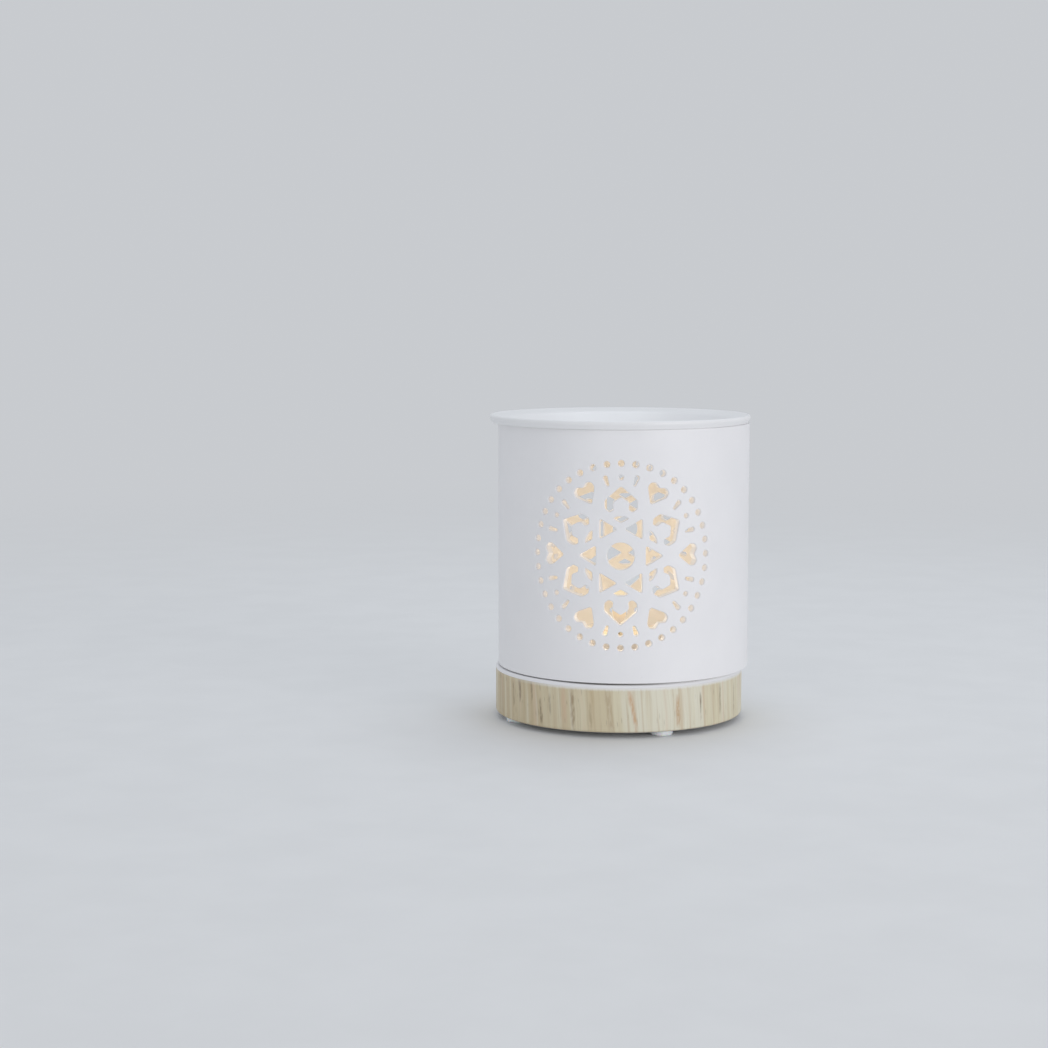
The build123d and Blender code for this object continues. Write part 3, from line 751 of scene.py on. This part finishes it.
# stick-on pads
pad_material = silicone()
for i, name in enumerate(("foot_front", "foot_right", "foot_rear", "foot_left")):
    t = math.radians(23.8 + 90 * i)
    at = radial(t) * 43.4
    pad_profile = rounded([(0, 0.0, 0), (4.3, 0.0, 0.8), (4.3, 2.2, 0.1), (0, 2.2, 0)],
                          closed=False, turn_step=15.0)
    pad = lathe("clear_" + name, pad_profile, [pad_material], count=48, centre=(at[0], at[1]))
    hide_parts(name)
    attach(pad, "base")

# ---------------------------------------------------------------------------------------
# Oil dish
# ---------------------------------------------------------------------------------------
RIM = math.tan(math.radians(9.8))      # fall of the broad rim towards the bowl
dish_profile = rounded([
    (0, 104.8, 0), (30.8, 105.9, 25.0), (44.1, 115.4, 0.8), (44.1, 118.2, 0.15),
    (50.8, 118.2, 0.3), (51.9, 120.1, 0.7), (51.9, 121.387 + 1.053 * RIM, 0.9),
    (43.5, 121.387 - 7.347 * RIM, 5.0), (31.0, 110.0, 22.0), (0, 108.6, 0)],
    closed=False, turn_step=7.0, longest=3.0)
dish = lathe("oil_bowl", dish_profile, [dish_glaze, bisque], count=192,      # its seat is bare
             slot_of=lambda r, z, i: 1 if abs(z - 118.2) < 0.05 and r > 44.3 else 0)
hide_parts("oil_dish")
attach(dish, "dish")

# ---------------------------------------------------------------------------------------
# Tealight
# ---------------------------------------------------------------------------------------
CUP = 19.2                             # height of the recess floor
cup_profile = rounded([
    (0, CUP + 0.7, 0), (14.5, CUP + 0.7, 0.5), (15.6, CUP, 0.3), (18.5, CUP, 0.4), (19.0, CUP + 0.5, 0.4),
    (19.0, CUP + 14.7, 0.2), (19.35, CUP + 14.95, 0.15), (19.35, CUP + 15.3, 0.15), (19.1, CUP + 15.5, 0.12),
    (18.75, CUP + 15.5, 0.12), (18.6, CUP + 15.15, 0.15), (18.6, CUP + 0.7, 0.25), (18.3, CUP + 0.4, 0.2),
    (15.8, CUP + 0.4, 0.2), (14.7, CUP + 1.1, 0.3), (0, CUP + 1.1, 0)], closed=False, turn_step=18.0)
metal = foil()
cup = lathe("candle_cup", cup_profile, [metal], count=120)
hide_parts("tealight_cup")
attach(cup, "tealight")

WAX = CUP + 13.6
wax_profile = rounded([
    (0.75, WAX - 0.05, 0), (0.75, CUP + 4.65, 0.02), (1.10, CUP + 4.65, 0.02), (1.3, CUP + 1.45, 0.02),
    (7.55, CUP + 1.45, 0.02), (7.55, CUP + 1.12, 0.02), (14.72, CUP + 1.12, 0.1), (15.85, CUP + 0.43, 0.1),
    (18.22, CUP + 0.43, 0.1), (18.55, CUP + 0.8, 0.1), (18.55, WAX + 0.5, 0.08), (17.9, WAX + 0.08, 0.5),
    (15.5, WAX - 0.12, 3.0), (2.4, WAX - 0.2, 2.0), (0.75, WAX - 0.05, 0)], closed=False, turn_step=15.0)
candle = lathe("candle_wax", wax_profile[:-1], [wax()], count=120, closed=True)
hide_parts("tealight_wax")
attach(candle, "tealight")

# wick: three twisted strands that lean a little at the charred end
wick_skin = Skin()
low, high = CUP + 1.4, CUP + 20.0
LEVELS = 64
for strand in range(3):
    rows = []
    for k in range(LEVELS + 1):
        f = k / LEVELS
        z = low + (high - low) * f
        bend = 0.45 * max(0.0, (z - WAX) / (high - WAX)) ** 2
        twist = 2 * math.pi * (strand / 3 + f * 5.0)
        end = min(1.0, 3.0 * (1 - f) + 0.35)
        cx = bend + 0.33 * math.cos(twist) * end
        cy = 0.33 * math.sin(twist) * end
        rr = 0.36 * end
        rows.append([wick_skin.point((cx + rr * math.cos(a), cy + rr * math.sin(a), z), (math.cos(a), math.sin(a), 0.0))
                     for a in (2 * math.pi * q / 10 for q in range(10))])
    for one, two in zip(rows, rows[1:]):
        for i in range(10):
            j = (i + 1) % 10
            wick_skin.face([one[i], one[j], two[j], two[i]])
    wick_skin.faces += [list(reversed(rows[0])), list(rows[-1])]
    wick_skin.slots += [0, 0]
wick = wick_skin.build("candle_wick", [cotton()])
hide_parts("wick")
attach(wick, "tealight")

# flame
flame_profile = []
FLAME0, FLAME1 = 37.0, 58.0
for k in range(33):
    f = k / 32
    r = 3.1 * math.sin(math.pi * min(1.0, f ** 0.62)) ** 0.9 * (1 - 0.25 * f) if 0 < f < 1 else 0.0
    flame_profile.append([r, FLAME0 + (FLAME1 - FLAME0) * f])
shaped = []
for k, (r, z) in enumerate(flame_profile):
    a, b = flame_profile[max(0, k - 1)], flame_profile[min(32, k + 1)]
    d = np.array([b[0] - a[0], b[1] - a[1]])
    d /= np.linalg.norm(d)
    shaped.append((r, z, d[1], -d[0]))
flame = lathe("candle_flame", shaped, [flame_light()], count=40, centre=(0.2, 0.0))
flame.visible_shadow = False
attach(flame, "tealight")

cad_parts["wick_tab"].data.materials.clear()
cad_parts["wick_tab"].data.materials.append(tin())

# ---------------------------------------------------------------------------------------
# Light, floor, camera
# ---------------------------------------------------------------------------------------
BACK = (0.58, 0.598, 0.625)
world = bpy.data.worlds.new("studio")
bpy.context.scene.world = world
world.use_nodes = True
world.node_tree.nodes["Background"].inputs["Color"].default_value = (*BACK, 1.0)
world.node_tree.nodes["Background"].inputs["Strength"].default_value = 1.0


def area(name, at, size, power, colour, aim=(0, 0, 0.06)):
    light = bpy.data.lights.new(name, "AREA")
    light.shape, light.size, light.energy, light.color = "DISK", size, power, colour
    obj = bpy.data.objects.new(name, light)
    obj.location = at
    obj.rotation_mode = "QUATERNION"
    obj.rotation_quaternion = (Vector(aim) - Vector(at)).to_track_quat("-Z", "Y")
    bpy.context.scene.collection.objects.link(obj)
    return obj


area("key", (0.98, -1.02, 0.26), 0.9, 4.7, (1.0, 0.970, 0.970), (0, 0, 0.08))
area("fill", (-0.62, -1.22, 0.10), 0.7, 1.7, (1.0, 0.985, 0.965), (0, 0, 0.10))
area("top", (0.1, 0.3, 1.2), 0.9, 3.1, (0.86, 0.93, 1.0))
area("low_right", (1.15, -0.62, 0.05), 0.5, 1.3, (1.0, 0.975, 0.97), (0, 0, 0.11))

glow = bpy.data.lights.new("candle_glow", "POINT")
glow.energy, glow.color, glow.shadow_soft_size = 0.0096, (1.0, 0.84, 0.62), 0.004
glow_at = bpy.data.objects.new("candle_glow", glow)
glow_at.location = (0.0002, 0.0, 0.048)
bpy.context.scene.collection.objects.link(glow_at)
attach(glow_at, "tealight")

floor_mesh = bpy.data.meshes.new("floor")
reach = 3.0
rim_points = [(reach * math.cos(2 * math.pi * k / 64), reach * math.sin(2 * math.pi * k / 64), 0.0) for k in range(64)]
floor_mesh.from_pydata(rim_points, [], [list(range(64))])
floor = bpy.data.objects.new("floor", floor_mesh)
bpy.context.scene.collection.objects.link(floor)
fm = Nodes("pale_floor")
grain = fm.noise(fm.coord, 30.0, 3.0)
fm.set(Base_Color=fm.mix(fm.spread(grain, 0.3, 0.7), (0.78, 0.785, 0.79), (0.80, 0.805, 0.81)), Roughness=0.7)
fxyz = fm.node("ShaderNodeSeparateXYZ", {0: fm.coord}).outputs
away = fm.math("SQRT", fm.math("ADD", fm.math("MULTIPLY", fxyz[0], fxyz[0]), fm.math("MULTIPLY", fxyz[1], fxyz[1])))
fade = fm.spread(away, 0.25, 1.1)
sky = fm.node("ShaderNodeEmission", {"Color": (*BACK, 1.0), "Strength": 1.0}).outputs[0]
join = fm.node("ShaderNodeMixShader")
fm.tree.links.new(fade, join.inputs[0])
fm.tree.links.new(fm.shader.outputs[0], join.inputs[1])
fm.tree.links.new(sky, join.inputs[2])
fm.tree.links.new(join.outputs[0], fm.tree.nodes["Material Output"].inputs["Surface"])
floor_mesh.materials.append(fm.material)

bpy.context.scene.view_settings.view_transform = "Standard"

# camera: the picture's own viewpoint, the burner standing where it does in the frame
cam_data = bpy.data.cameras.new("camera")
cam_data.sensor_width = 36.0
F_PIXELS = 2142.0
cam_data.lens = 36.0 * F_PIXELS / 1048.0
cam = bpy.data.objects.new("camera", cam_data)
bpy.context.scene.collection.objects.link(cam)
swing = math.radians(1.0)
cam.location = (TUBE_X * MM + 0.8544 * math.sin(swing), -0.8544 * math.cos(swing), 0.1692)
cam.rotation_mode = "QUATERNION"
middle = Vector((TUBE_X * MM, 0, 0.0607))
want = ((623 - 524) / F_PIXELS, -(565 - 524) / F_PIXELS)
aim = middle.copy()
for _ in range(20):
    cam.rotation_quaternion = (aim - cam.location).to_track_quat("-Z", "Y")
    local = cam.rotation_quaternion.inverted() @ (middle - cam.location)
    off = (local.x / -local.z - want[0], local.y / -local.z - want[1])
    size = (middle - cam.location).length
    aim += cam.rotation_quaternion @ Vector((off[0] * size, off[1] * size, 0))
bpy.context.scene.camera = cam
